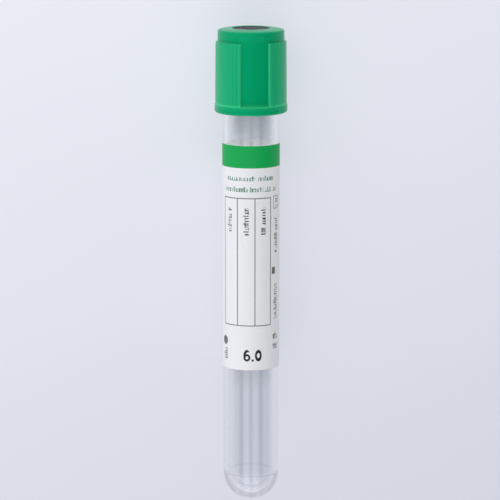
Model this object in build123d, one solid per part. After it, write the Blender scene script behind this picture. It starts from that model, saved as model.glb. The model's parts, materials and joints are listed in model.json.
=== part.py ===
from build123d import *
import os
from math import asin, atan2, cos, degrees, hypot, sin

# A capped blood collection tube lying on its side: a clear plastic tube with a round end, a printed
# label round it, a rubber stopper in its mouth and a plastic shield over the stopper.
#
# Every piece is drawn upright on one axis: Z = 0 is the outside of the round end, the mouth and the
# shield are above it, and the side that ends uppermost faces -Y. lay_down() then turns the pieces
# together onto the line from the round end to the shield's rim. Millimetres and degrees.

# ---- Tube ----
TUBE_LENGTH = 100.0  # outside of the round end to the mouth
TUBE_DIAMETER = 13.0  # outside, at the mouth
TUBE_DRAFT = 0.3  # how much narrower the outside is next to the round end
TUBE_WALL = 1.05
BASE_THICKNESS = 2.0  # of the round end, on the axis
PARALLEL_LENGTH = 24.0  # wall with no draft, next to the round end
LIP_ROUNDING = 0.3
GATE_DIAMETER = 2.8  # ring-shaped dimple that the moulding gate leaves in the round end
GATE_DEPTH = 0.3  # from the lowest point of the round end
GATE_STUB_DIAMETER = 1.0  # what stands in the dimple's middle

# ---- Label ----
LABEL_LENGTH = 51.9
LABEL_TO_SHIELD = 6.96  # bare neck between the shield and the label
LABEL_LAP = 3.0  # width of the strip where the label's end lies over its start
LABEL_LAP_ANGLE = 180.0  # middle of that strip, from the uppermost side towards +X
LABEL_THICKNESS = 0.1
GLUE_LINE = 0.02  # between the label and the tube

# ---- Shield ----
SHIELD_HEIGHT = 19.2
SHIELD_ABOVE_MOUTH = 9.8  # the rest of its height hangs round the tube
SHIELD_WALL = 0.8
SKIRT_CLEARANCE = 0.3  # between the skirt's bore and the tube's mouth
TOP_PLATE = 1.6  # thickness at the top's rim
TOP_CROWN = 0.4  # how far the top rises from its rim to the port
TOP_ROUNDING = 0.5
PORT_DIAMETER = 8.6  # hole in the top that a needle goes through
PORT_LAND = 0.45  # width of the flat ring round the port
PORT_ROUNDING = 0.12
FLANGE_HEIGHT = 2.0
FLANGE_PROUD = 0.7  # beyond the wall
FLANGE_FOOT_ROUNDING = 0.6
FLANGE_TOP_ROUNDING = 0.25
LEAD_IN = 0.4  # chamfer at the skirt's mouth
PAD_COUNT = 3
PAD_ARC = 72.0
PAD_PROUD = 0.47  # beyond the wall, at a pad's top
PAD_FLARE = 0.09  # how much further it stands out at its foot
PAD_DROP = 2.5  # plain collar between the pads and the top's rim
PAD_ROUNDING = 0.25
PAD_BEDDING = 0.4  # how far a pad is drawn into the wall that it grows from
RECESS_ANGLE = 7.0  # middle of a recess between two pads, from the uppermost side towards +X
GROOVE_INSETS = (6.2, 12.8)  # grooves in a pad, as angles in from its edge
GROOVE_RADII = (0.16, 0.22)
GROOVE_DEPTH = 0.07  # below a pad's crest
GROOVE_STOP = 0.9  # how far below a pad's top its grooves end
BEAD_DROP = 5.9  # ring inside that grips the stopper's head, below the top's rim
BEAD_RADIUS = 0.35

# ---- Stopper ----
PLUG_LENGTH = 8.4  # part that goes into the tube
PLUG_SLACK = 0.35  # between the plug's plain stretches and the bore
SEAL_DROPS = (2.4, 6.2)  # sealing rings, below the mouth
SEAL_ROUNDING = 0.6  # radius of a sealing ring's back
SEAL_CLEARANCE = 0.03  # between a sealing ring and the bore
PLUG_CHAMFER = 0.6
HEAD_CLEARANCE = 0.05  # all round the head, in the shield
NECK_CLEARANCE = 0.03  # between the stopper's neck and the port
NECK_DROP = 0.05  # of the stopper's face below the shield's top
FACE_RIM = 0.4  # width of the ring round the stopper's face
FACE_DEPTH = 0.2  # of the face below that ring
TARGET_DIAMETER = 4.0  # dish in the middle of the face
TARGET_DEPTH = 0.3
WELL_MOUTH_DIAMETER = 6.4  # hollow in the plug's underside
WELL_ROOF_DIAMETER = 5.2
SEPTUM = 5.6  # rubber left between the dish and the hollow's roof
WELL_ROUNDING = 0.8

# ---- Sizes that follow from those ----
mouth_r = TUBE_DIAMETER / 2
base_r = mouth_r - TUBE_DRAFT / 2
round_end = base_r  # height of the round end, which is half a sphere
parallel_top = round_end + PARALLEL_LENGTH
bore_mouth_r = mouth_r - TUBE_WALL
bore_base_r = base_r - TUBE_WALL
shield_top = TUBE_LENGTH + SHIELD_ABOVE_MOUTH
shield_foot = shield_top - SHIELD_HEIGHT
rim_top = shield_top - TOP_CROWN
skirt_bore_r = mouth_r + SKIRT_CLEARANCE
shield_r = skirt_bore_r + SHIELD_WALL
flange_r = shield_r + FLANGE_PROUD
flange_top = shield_foot + FLANGE_HEIGHT
pad_top = rim_top - PAD_DROP
bead_height = rim_top - BEAD_DROP
head_r = skirt_bore_r - HEAD_CLEARANCE
plate_underside = rim_top - TOP_PLATE
port_r = PORT_DIAMETER / 2
neck_r = port_r - NECK_CLEARANCE
neck_top = shield_top - NECK_DROP
label_top = shield_foot - LABEL_TO_SHIELD
label_foot = label_top - LABEL_LENGTH


def wall_radius(height):
    """The tube's outside radius: parallel next to the round end, then widening to the mouth."""
    if height <= parallel_top:
        return base_r
    return base_r + (mouth_r - base_r) * (height - parallel_top) / (TUBE_LENGTH - parallel_top)


def bore_radius(height):
    """The tube's inside radius, which widens evenly from the round end to the mouth."""
    bore_foot = BASE_THICKNESS + bore_base_r
    return bore_base_r + (bore_mouth_r - bore_base_r) * (height - bore_foot) / (TUBE_LENGTH - bore_foot)


def turned(outline):
    """The solid that a closed outline in the XZ plane, of X as radius, sweeps about Z."""
    return revolve(make_face(outline), axis=Axis.Z)


def bearing(angle):
    """The compass angle about Z of a place that lies angle from the uppermost side towards +X."""
    return angle - 90


def make_tube():
    """Clear tube: drafted wall, half-sphere end with a thicker base, rounded lip, gate dimple."""
    bore_foot = BASE_THICKNESS + bore_base_r
    with BuildLine(Plane.XZ) as outline:
        RadiusArc((0, 0), (base_r, round_end), -base_r)
        Polyline((base_r, round_end), (base_r, parallel_top), (mouth_r, TUBE_LENGTH))
        Line((mouth_r, TUBE_LENGTH), (bore_mouth_r, TUBE_LENGTH))
        Line((bore_mouth_r, TUBE_LENGTH), (bore_base_r, bore_foot))
        RadiusArc((bore_base_r, bore_foot), (0, BASE_THICKNESS), bore_base_r)
        Line((0, BASE_THICKNESS), (0, 0))
    tube = turned(outline.line)
    lip = tube.edges().group_by(Axis.Z)[-1]
    tube = fillet(lip, LIP_ROUNDING)
    standing = (Align.CENTER, Align.CENTER, Align.MIN)
    dimple = Cylinder(GATE_DIAMETER / 2, GATE_DEPTH, align=standing)
    stub = Cylinder(GATE_STUB_DIAMETER / 2, GATE_DEPTH, align=standing)
    return tube - (dimple - stub)


def make_label():
    """Thin wrap that follows the tube's wall, twice as thick where its end lies over its start."""
    bends = [label_foot, parallel_top, label_top]
    heights = [height for height in bends if label_foot <= height <= label_top]
    wrap = revolve(label_section(heights, GLUE_LINE, LABEL_THICKNESS), axis=Axis.Z)
    bedding = LABEL_THICKNESS / 2
    lap = label_section(heights, GLUE_LINE + bedding, 2 * LABEL_THICKNESS - bedding)
    turn = degrees(LABEL_LAP / wall_radius(label_top))
    start = bearing(LABEL_LAP_ANGLE) - turn / 2
    return wrap + Rot(0, 0, start) * revolve(lap, axis=Axis.Z, revolution_arc=turn)


def label_section(heights, stand_off, thickness):
    """The face in the XZ plane of a layer of this thickness that stands off the tube's wall."""
    inner = [(wall_radius(height) + stand_off, height) for height in heights]
    outer = [(radius + thickness, height) for radius, height in reversed(inner)]
    return make_face(Plane.XZ * Polyline(*inner, *outer, close=True))


def shield_shell():
    """The shield without its pads: crowned top with a port, thin wall, flange and a ring inside."""
    land_r = port_r + PORT_LAND
    with BuildLine(Plane.XZ) as outline:
        Polyline((port_r, plate_underside), (port_r, shield_top), (land_r, shield_top))
        TangentArc((land_r, shield_top), (shield_r, rim_top), tangent=(1, 0))
        Polyline(
            (shield_r, rim_top),
            (shield_r, flange_top),
            (flange_r, flange_top),
            (flange_r, shield_foot),
            (skirt_bore_r + LEAD_IN, shield_foot),
            (skirt_bore_r, shield_foot + LEAD_IN),
            (skirt_bore_r, plate_underside),
            (port_r, plate_underside),
        )
    shell = turned(outline.line)
    shell = rounded_rim(shell, shield_r, rim_top, TOP_ROUNDING)
    shell = rounded_rim(shell, port_r, shield_top, PORT_ROUNDING)
    shell = rounded_rim(shell, flange_r, shield_foot, FLANGE_FOOT_ROUNDING)
    shell = rounded_rim(shell, flange_r, flange_top, FLANGE_TOP_ROUNDING)
    return shell + Pos(0, 0, bead_height) * Torus(skirt_bore_r, BEAD_RADIUS)


def rounded_rim(solid, radius, height, rounding):
    """The solid with its circular edge of this radius at this height rounded."""
    circles = solid.edges().filter_by(GeomType.CIRCLE)
    level = [circle for circle in circles if abs(circle.arc_center.Z - height) < 1e-4]
    return fillet([circle for circle in level if abs(circle.radius - radius) < 1e-4], rounding)


def make_pad():
    """One raised grip pad, from compass angle 0 round to PAD_ARC, with its grooves cut."""
    root_r = shield_r - PAD_BEDDING
    crest_top = (shield_r + PAD_PROUD, pad_top)
    crest_foot = (shield_r + PAD_PROUD + PAD_FLARE, flange_top)
    foot = flange_top - PAD_BEDDING
    corners = [(root_r, foot), (crest_foot[0], foot), crest_foot, crest_top, (root_r, pad_top)]
    section = make_face(Plane.XZ * Polyline(*corners, close=True))
    pad = revolve(section, axis=Axis.Z, revolution_arc=PAD_ARC)
    middles = [(edge, edge @ 0.5) for edge in pad.edges()]
    outer = [
        edge
        for edge, middle in middles
        if hypot(middle.X, middle.Y) > shield_r + PAD_PROUD / 2 and middle.Z > flange_top + PAD_BEDDING
    ]
    pad = fillet(outer, PAD_ROUNDING)
    for inset, radius in zip(GROOVE_INSETS, GROOVE_RADII):
        for angle in (inset, PAD_ARC - inset):
            pad -= Rot(0, 0, angle) * pad_groove(crest_top, crest_foot, radius)
    return pad


def pad_groove(crest_top, crest_foot, radius):
    """A round-bottomed groove's cutter, along the line where a pad's crest meets the XZ plane."""
    slope = (crest_foot[0] - crest_top[0]) / (crest_top[1] - crest_foot[1])
    overrun = PAD_BEDDING / 2
    stand_off = radius - GROOVE_DEPTH
    top = Vector(crest_top[0] + slope * GROOVE_STOP + stand_off, 0, crest_top[1] - GROOVE_STOP)
    foot = Vector(crest_foot[0] + slope * overrun + stand_off, 0, crest_foot[1] - overrun)
    down = Plane(top, z_dir=foot - top)
    rod = down * Cylinder(radius, (foot - top).length, align=(Align.CENTER, Align.CENTER, Align.MIN))
    return rod + Pos(top.X, top.Y, top.Z) * Sphere(radius)


def make_shield():
    """Green shield: the shell, and its grip pads spaced evenly from the uppermost recess."""
    shield = shield_shell()
    pitch = 360 / PAD_COUNT
    pad = make_pad()
    for number in range(PAD_COUNT):
        middle = bearing(RECESS_ANGLE) + pitch * (number + 0.5)
        shield += Rot(0, 0, middle - PAD_ARC / 2) * pad
    return shield


def make_stopper():
    """Rubber stopper: ringed plug with a hollow, head gripped in the shield, neck and dished face."""
    foot = TUBE_LENGTH - PLUG_LENGTH
    plug_r = bore_radius(foot) - PLUG_SLACK
    face = neck_top - FACE_DEPTH
    face_r = neck_r - FACE_RIM
    target_r = TARGET_DIAMETER / 2
    target_floor = face - TARGET_DEPTH
    roof = target_floor - SEPTUM
    with BuildLine(Plane.XZ) as outline:
        Polyline(
            (0, roof),
            (WELL_ROOF_DIAMETER / 2, roof),
            (WELL_MOUTH_DIAMETER / 2, foot),
            (plug_r - PLUG_CHAMFER, foot),
            (plug_r, foot + PLUG_CHAMFER),
            (plug_r, TUBE_LENGTH),
            (head_r, TUBE_LENGTH),
            (head_r, plate_underside),
            (neck_r, plate_underside),
            (neck_r, neck_top),
            (face_r, neck_top),
            (face_r, face),
            (target_r, face),
        )
        ThreePointArc((target_r, face), dish_middle(target_r, face, target_floor), (0, target_floor))
        Line((0, target_floor), (0, roof))
    stopper = turned(outline.line)
    stopper = rounded_rim(stopper, WELL_ROOF_DIAMETER / 2, roof, WELL_ROUNDING)
    for drop in SEAL_DROPS:
        height = TUBE_LENGTH - drop
        ring_r = bore_radius(height) - SEAL_CLEARANCE
        stopper += Pos(0, 0, height) * Torus(ring_r - SEAL_ROUNDING, SEAL_ROUNDING)
    grip = Pos(0, 0, bead_height) * Torus(skirt_bore_r, BEAD_RADIUS + HEAD_CLEARANCE)
    return stopper - grip


def dish_middle(rim_r, rim_height, floor_height):
    """The point halfway along a round dish's section, from its rim to its lowest point."""
    sag = rim_height - floor_height
    dish_r = (rim_r**2 + sag**2) / (2 * sag)
    half_turn = asin(rim_r / dish_r) / 2
    return (dish_r * sin(half_turn), floor_height + dish_r * (1 - cos(half_turn)))


def lie_angle():
    """How far the shield's end is raised when the flange and the round end touch one flat surface.

    The flange's rounded foot is a ring of radius ring_r whose section has the foot's rounding. Both
    it and the round end's sphere touch the surface, which fixes the angle of the axis.
    """
    ring_r = flange_r - FLANGE_FOOT_ROUNDING
    along = shield_foot + FLANGE_FOOT_ROUNDING - round_end
    reach = hypot(along, ring_r)
    return degrees(atan2(ring_r, along) - asin((base_r - FLANGE_FOOT_ROUNDING) / reach))


def lay_down(pieces):
    """The pieces turned onto their side, shield towards +Y, their box's foot centred on the origin."""
    turn = Rot(lie_angle() - 90, 0, 0)
    laid = {name: turn * piece for name, piece in pieces.items()}
    boxes = [piece.bounding_box() for piece in laid.values()]
    left = min(box.min.X for box in boxes)
    right = max(box.max.X for box in boxes)
    back = min(box.min.Y for box in boxes)
    front = max(box.max.Y for box in boxes)
    low = min(box.min.Z for box in boxes)
    to_origin = Pos(-(left + right) / 2, -(back + front) / 2, -low)
    return {name: to_origin * piece for name, piece in laid.items()}


def make_all():
    """Every piece by name, at rest."""
    return lay_down(
        {
            "tube": make_tube(),
            "label": make_label(),
            "shield": make_shield(),
            "stopper": make_stopper(),
        }
    )


os.makedirs("parts", exist_ok=True)
for name, piece in make_all().items():
    export_step(piece, f"parts/{name}.step")
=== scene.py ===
"""Looks of a capped blood collection tube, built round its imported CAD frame.

Where no other unit is named, lengths are millimetres in the tube's own upright frame. Heights run along its
axis from the outside of the round end. Angles run round the axis, in degrees, from the side that lies
uppermost towards +X.
"""

from __future__ import annotations

import json
import logging
from collections.abc import Callable, Mapping, Sequence
from dataclasses import dataclass, field
from enum import Enum
from functools import cached_property
from typing import Any

import bpy
import numpy as np
from mathutils import Matrix
from numpy.typing import NDArray


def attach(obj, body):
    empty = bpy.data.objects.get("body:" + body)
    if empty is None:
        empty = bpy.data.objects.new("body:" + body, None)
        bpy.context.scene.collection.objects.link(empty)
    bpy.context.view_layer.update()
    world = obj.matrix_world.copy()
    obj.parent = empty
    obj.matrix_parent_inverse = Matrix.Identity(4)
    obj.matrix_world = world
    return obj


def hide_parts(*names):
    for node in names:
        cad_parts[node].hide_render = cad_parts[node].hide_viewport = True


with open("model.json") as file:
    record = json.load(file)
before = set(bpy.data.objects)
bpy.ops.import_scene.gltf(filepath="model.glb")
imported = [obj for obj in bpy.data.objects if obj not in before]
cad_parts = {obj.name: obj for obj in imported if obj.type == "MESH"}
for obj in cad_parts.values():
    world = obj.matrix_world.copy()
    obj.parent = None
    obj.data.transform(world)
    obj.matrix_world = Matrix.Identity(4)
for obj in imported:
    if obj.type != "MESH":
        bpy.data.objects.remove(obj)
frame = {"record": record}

Floats = NDArray[np.float64]
Whole = NDArray[np.int64]
Colour = tuple[float, float, float]
# A corner of a turned outline: its radius, its height and, if it is taken off, the radius of its arc.
Corner = tuple[float, ...]
Sockets = Mapping[str | int, Any]
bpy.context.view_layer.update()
LOG = logging.getLogger("collection_tube")


class Body(Enum):
    """The frame's moving bodies."""

    TUBE = "tube"
    CLOSURE = "closure"


class Slot(Enum):
    """The record's material slots."""

    CLEAR_PLASTIC = "clear_plastic"
    PRINTED_LABEL = "printed_label"
    GREEN_PLASTIC = "green_plastic"
    STOPPER_RUBBER = "stopper_rubber"


@dataclass(frozen=True)
class TubeAxis:
    """The tube's upright frame, as it lies in the row frame.

    Attributes:
        pole: Outside of the round end, on the axis, in metres.
        along: Direction from the round end to the closure.
        up: Direction of the uppermost side.
        side: Direction square to both, to +X.
    """

    pole: Floats
    along: Floats
    up: Floats
    side: Floats

    @classmethod
    def from_record(cls, record: Mapping[str, Any], top_height: float) -> TubeAxis:
        """Finds the axis from the record's mounts.

        Args:
            record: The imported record.
            top_height: Height of the closure's top face above the pole.

        Returns:
            The tube's frame.
        """
        mounts = {mount["name"]: mount for mount in record["mounts"]}
        along = np.array(mounts["shield_rim"]["axis"])
        on_axis, on_top = (np.array(mounts[name]["pos_m"]) for name in ("shield_rim", "shield_top"))
        side = np.array([1.0, 0.0, 0.0])
        pole = on_axis + (on_top @ along - top_height / 1000 - on_axis @ along) * along
        return cls(pole=pole, along=along, up=np.cross(side, along), side=side)

    def place(self, points: Floats) -> Floats:
        """Moves upright points to the row frame, in metres: pole + x side - y up + z along."""
        return self.pole + (points / 1000) @ np.stack([self.side, -self.up, self.along])


# ---------------------------------------------------------------- outlines and surfaces


def arc(centre: tuple[float, float], radius: float, start: float, stop: float, steps: int) -> Floats:
    """Samples an arc of a turned outline: centre + radius (cos t, sin t), with t spaced evenly.

    Args:
        centre: Radius and height of the arc's centre.
        radius: The arc's own radius.
        start: First t, in degrees from straight outwards towards the mouth.
        stop: Last t.
        steps: Number of points.

    Returns:
        The points, as rows of radius and height.
    """
    turn = np.radians(np.linspace(start, stop, steps))
    return np.array(centre) + radius * np.stack([np.cos(turn), np.sin(turn)], axis=1)


def rounded(corners: Sequence[Corner], steps: int = 7) -> Floats:
    """Joins corners by straight runs, with an arc at each one that has a rounding.

    The arc touches both runs: each end lies rounding / tan(half angle) from the corner, and its centre lies
    rounding / sin(half angle) away on the bisector, where half angle is half the angle between the runs.
    The first and last corners stay sharp.

    Args:
        corners: The outline's corners in order.
        steps: Points in each arc.

    Returns:
        The outline, as rows of radius and height.
    """
    knots = np.array([corner[:2] for corner in corners])
    pieces = [knots[:1]]
    for before, here, after, corner in zip(knots, knots[1:], knots[2:], corners[1:]):
        if len(corner) < 3:
            pieces.append(here[None])
            continue
        rounding = corner[2]
        back, ahead = ((end - here) / np.linalg.norm(end - here) for end in (before, after))
        half = np.arccos(np.clip(back @ ahead, -1, 1)) / 2
        bisector = (back + ahead) / np.linalg.norm(back + ahead)
        centre = here + bisector * rounding / np.sin(half)
        spokes = np.stack([here + run * rounding / np.tan(half) for run in (back, ahead)]) - centre
        first, last = np.arctan2(spokes[:, 1], spokes[:, 0])
        sweep = (last - first + np.pi) % (2 * np.pi) - np.pi
        turn = first + sweep * np.linspace(0, 1, steps)
        pieces.append(centre + rounding * np.stack([np.cos(turn), np.sin(turn)], axis=1))
    return np.concatenate([*pieces, knots[-1:]])


def filled(outline: Floats, longest: float) -> Floats:
    """Divides each run of an outline evenly, so that none is longer than a given length."""
    runs = np.diff(outline, axis=0)
    counts = np.maximum(1, np.ceil(np.linalg.norm(runs, axis=1) / longest)).astype(int)
    owner = np.repeat(np.arange(len(runs)), counts)
    step = np.arange(counts.sum()) - np.repeat(np.cumsum(counts) - counts, counts)
    points = outline[owner] + runs[owner] * (step / counts[owner])[:, None]
    return np.concatenate([points, outline[-1:]])


def turned(outline: Floats, angles: Floats, lift: Floats | float = 0.0) -> Floats:
    """Sweeps an outline round the axis: each point is ((r + lift) sin a, -(r + lift) cos a, h).

    Args:
        outline: Rows of radius and height, or one such row for each angle.
        angles: Angles from the uppermost side towards +X, in degrees.
        lift: How far the outline moves outwards, at each angle or at each point.

    Returns:
        A grid of upright points, one row for each outline point and one column for each angle.
    """
    turn = np.radians(angles)
    each = outline.reshape(len(outline), -1, 2)
    radius, height = np.moveaxis(np.broadcast_to(each, (len(outline), len(turn), 2)), -1, 0)
    radius = radius + lift
    return np.stack([radius * np.sin(turn), -radius * np.cos(turn), height], axis=-1)


@dataclass(frozen=True)
class Skin:
    """A mesh in the upright frame, before it is placed.

    Attributes:
        points: Rows of x, y, z.
        quads: Four point numbers a face.
        triangles: Three point numbers a face.
        wrap: Two pattern coordinates for each point, or None.
    """

    points: Floats
    quads: Whole
    triangles: Whole = field(default_factory=lambda: np.zeros((0, 3), int))
    wrap: Floats | None = None

    @property
    def faces(self) -> list[list[int]]:
        """All faces, turned over together if they enclose a negative volume."""
        fans = [self.triangles, self.quads[:, :3], self.quads[:, [0, 2, 3]]]
        a, b, c = np.moveaxis(self.points[np.concatenate(fans)], 1, 0)
        inside_out = np.einsum("ij,ij->i", a, np.cross(b, c)).sum() < 0
        groups = [group[:, ::-1] if inside_out else group for group in (self.quads, self.triangles)]
        return [face for group in groups for face in group.tolist()]


def cells(rows: int, columns: int, rows_close: bool = False, columns_close: bool = True) -> Whole:
    """Lists a grid's faces: cell (i, j) joins points (i, j), (i, j + 1), (i + 1, j + 1) and (i + 1, j).

    Args:
        rows: Rows of points.
        columns: Points in a row.
        rows_close: Whether the last row joins the first.
        columns_close: Whether the last column joins the first.

    Returns:
        Four point numbers for each face.
    """
    ends = rows - (not rows_close), columns - (not columns_close)
    i, j = np.meshgrid(*map(np.arange, ends), indexing="ij")
    below, right = (i + 1) % rows, (j + 1) % columns
    corners = [i * columns + j, i * columns + right, below * columns + right, below * columns + j]
    return np.stack(corners, axis=-1).reshape(-1, 4)


def lathed(outline: Floats, columns: int, first_pole: float, last_pole: float) -> Skin:
    """Turns an outline right round the axis, and closes each end with a fan to a point on the axis.

    Args:
        outline: Rows of radius and height, without the poles.
        columns: Points in each ring.
        first_pole: Height of the point that the first ring fans to.
        last_pole: Height of the point that the last ring fans to.

    Returns:
        The skin.
    """
    grid = turned(outline, np.linspace(0, 360, columns, endpoint=False))
    here = np.arange(columns)
    after = (here + 1) % columns
    last_ring, poles = (len(outline) - 1) * columns, len(outline) * columns
    first_fan = np.stack([np.full(columns, poles), after, here], axis=1)
    last_fan = np.stack([np.full(columns, poles + 1), last_ring + here, last_ring + after], axis=1)
    points = np.concatenate([grid.reshape(-1, 3), [[0.0, 0.0, first_pole], [0.0, 0.0, last_pole]]])
    return Skin(points, cells(len(outline), columns), np.concatenate([first_fan, last_fan]))


def make_piece(
    name: str, skin: Skin, axis: TubeAxis, materials: Sequence[bpy.types.Material], **shares: Floats
) -> bpy.types.Object:
    """Puts a skin into a mesh at its place in the row frame, smooth but for its sharp edges.

    Args:
        name: The piece's name.
        skin: The mesh in the upright frame.
        axis: Where the tube lies.
        materials: Its materials in order.
        **shares: Attributes that they read, each one number a point.

    Returns:
        The new object, at the origin.
    """
    sharpest = 32.0
    mesh = bpy.data.meshes.new(name)
    mesh.from_pydata(axis.place(skin.points), [], skin.faces)
    mesh.shade_smooth()
    mesh.set_sharp_from_angle(angle=float(np.radians(sharpest)))
    if skin.wrap is not None:
        numbers = np.zeros(len(mesh.loops), np.int32)
        mesh.loops.foreach_get("vertex_index", numbers)
        mesh.uv_layers.new(name="wrap").data.foreach_set("uv", skin.wrap[numbers].astype(np.float32).ravel())
    for share, values in shares.items():
        mesh.attributes.new(share, "FLOAT", "POINT").data.foreach_set("value", values.astype(np.float32))
    for material in materials:
        mesh.materials.append(material)
    mesh.update()
    return link(bpy.data.objects.new(name, mesh))


def link(made: bpy.types.Object) -> bpy.types.Object:
    """Puts a new object into the scene."""
    bpy.context.scene.collection.objects.link(made)
    return made


# ---------------------------------------------------------------- shader expressions


def operator(operation: str, swapped: bool = False) -> Callable[[Number, Number | float], Number]:
    """An operator between numbers that adds one Math node, with its two terms swapped if need be."""

    def work_out(this: Number, other: Number | float) -> Number:
        """Adds the node."""
        return this.recipe.maths(operation, *((other, this) if swapped else (this, other)))

    return work_out


@dataclass(frozen=True, eq=False)
class Worked:
    """What a material works out: the material's recipe and the socket that gives the result."""

    recipe: Recipe
    socket: bpy.types.NodeSocket


class Number(Worked):
    """A number that a material works out, so that shader maths reads as plain sums."""

    __add__ = __radd__ = operator("ADD")
    __sub__ = operator("SUBTRACT")
    __rsub__ = operator("SUBTRACT", swapped=True)
    __mul__ = __rmul__ = operator("MULTIPLY")
    __truediv__ = operator("DIVIDE")
    __pow__ = operator("POWER")
    __mod__ = operator("FLOORED_MODULO")
    __gt__ = operator("GREATER_THAN")
    __or__ = operator("MAXIMUM")
    __and__ = operator("MINIMUM")

    def __abs__(self) -> Number:
        """This without its sign."""
        return self.recipe.maths("ABSOLUTE", self)

    def __floordiv__(self, other: float) -> Number:
        """How many whole times other goes into this."""
        return self.recipe.maths("FLOOR", self / other)

    def within(self, half_width: Number | float, edge: float) -> Number:
        """A soft-edged mask: 1 where this lies under half_width from zero, and 0 beyond.

        Args:
            half_width: Half of the band's width.
            edge: Width of the soft edge.

        Returns:
            (half_width - |this|) / edge + 1/2, held between 0 and 1.
        """
        return ((half_width - abs(self)) / edge + 0.5).held()

    def held(self) -> Number:
        """This, held between 0 and 1."""
        return Number(self.recipe, self.recipe.node("Clamp", {"Value": self}).outputs[0])

    def mapped(self, low: float, high: float, to_low: float = 0.0, to_high: float = 1.0) -> Number:
        """This, carried from low..high to to_low..to_high and held there."""
        sockets = {"Value": self, "From Min": low, "From Max": high, "To Min": to_low, "To Max": to_high}
        return Number(self.recipe, self.recipe.node("MapRange", sockets, clamp=True).outputs["Result"])


class Tint(Worked):
    """A colour or vector that a material works out."""

    def over(self, other: Tint | Colour, share: Number | float) -> Tint:
        """Lays another colour over this one, by a share."""
        return self.recipe.mix(share, self, other)


class Recipe:
    """The nodes of one material, or of the room's own light, under construction."""

    def __init__(self, owner: bpy.types.Material | bpy.types.World) -> None:
        """Starts a new material or world with nothing but the output."""
        owner.use_nodes = True
        self.owner = owner
        self.tree = owner.node_tree
        self.tree.nodes.clear()
        self.output = self.node("OutputWorld" if isinstance(owner, bpy.types.World) else "OutputMaterial")

    def node(self, kind: str, sockets: Sockets | None = None, **settings: Any) -> bpy.types.Node:
        """Adds a node: first its settings, then its sockets' values or links.

        Args:
            kind: The node's type, without the "ShaderNode" that all begin with.
            sockets: Its inputs by name or number, each a plain value, a Number, a Tint or a socket.
            **settings: Its properties.

        Returns:
            The node.
        """
        made = self.tree.nodes.new(f"ShaderNode{kind}")
        for setting, value in settings.items():
            setattr(made, setting, value)
        for key, value in (sockets or {}).items():
            socket, source = made.inputs[key], getattr(value, "socket", value)
            if isinstance(source, bpy.types.NodeSocket):
                self.tree.links.new(source, socket)
            elif isinstance(source, tuple) and socket.type == "RGBA":
                socket.default_value = (*source, 1.0)
            else:
                socket.default_value = source
        return made

    def maths(self, operation: str, *terms: Number | float) -> Number:
        """The result of one Math node on terms in order."""
        return Number(self, self.node("Math", dict(enumerate(terms)), operation=operation).outputs[0])

    def mix(self, share: Number | float, below: Tint | Colour, above: Tint | Colour) -> Tint:
        """Mixes two colours, with a share of the one above."""
        # A Mix node's colour inputs are its seventh and eighth, and its colour output the third.
        return Tint(self, self.node("Mix", {0: share, 6: below, 7: above}, data_type="RGBA").outputs[2])

    @cached_property
    def places(self) -> Tint:
        """Object coordinates, in metres."""
        return Tint(self, self.node("TexCoord").outputs["Object"])

    def parts(self, source: Tint | bpy.types.NodeSocket, kind: str = "XYZ") -> list[Number]:
        """The three parts of a vector or, with the kind "Color", of a colour."""
        return [Number(self, part) for part in self.node(f"Separate{kind}", {0: source}).outputs]

    def attribute(self, name: str) -> Number:
        """One of the piece's own attributes."""
        return Number(self, self.node("Attribute", attribute_name=name).outputs["Fac"])

    def noise(
        self, grain: float, detail: float, roughness: float = 0.5, scale: Colour | None = None
    ) -> Number:
        """Noise over the piece, about 0.5.

        Args:
            grain: Rough size of a blot, in millimetres.
            detail: Finer layers added.
            roughness: Weight of the finer layers.
            scale: Scale of the places along X, Y and Z, to draw the blots out.

        Returns:
            The noise.
        """
        places = self.places
        if scale:
            places = self.node("Mapping", {"Vector": places, "Scale": scale}).outputs[0]
        sockets = {"Vector": places, "Scale": 1000 / grain, "Detail": detail, "Roughness": roughness}
        return Number(self, self.node("TexNoise", sockets).outputs[0])

    def bumped(self, height: Number, depth: float) -> bpy.types.NodeSocket:
        """A normal for a relief from 0 to 1, of a full depth in millimetres."""
        return self.node("Bump", {"Height": height, "Distance": depth / 1000, "Strength": 1.0}).outputs[0]

    def principled(self, sockets: Sockets) -> bpy.types.Node:
        """The shader that every finish is made with."""
        return self.node("BsdfPrincipled", sockets)

    def ended_after(self, shader: bpy.types.Node, mirrorings: int, glow: Colour) -> bpy.types.Node:
        """Ends light that a clear wall has mirrored many times in a glow of the pale colour of what lies
        around it: a painted reflection.

        Args:
            shader: How the wall looks.
            mirrorings: How often light may be mirrored.
            glow: The pale colour.

        Returns:
            The mixed shader's node.
        """
        spent = Number(self, self.node("LightPath").outputs["Glossy Depth"]) > mirrorings - 0.5
        # The pale emission is a painted reflection.
        pale = self.node("Emission", {"Color": glow})
        return self.node("MixShader", {0: spent, 1: shader.outputs[0], 2: pale.outputs[0]})

    def surface(self, shader: bpy.types.Node) -> bpy.types.Material | bpy.types.World:
        """Ends with the last shader, and gives back the finished material or world."""
        self.tree.links.new(shader.outputs[0], self.output.inputs["Surface"])
        return self.owner


# ---------------------------------------------------------------- finishes


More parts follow.
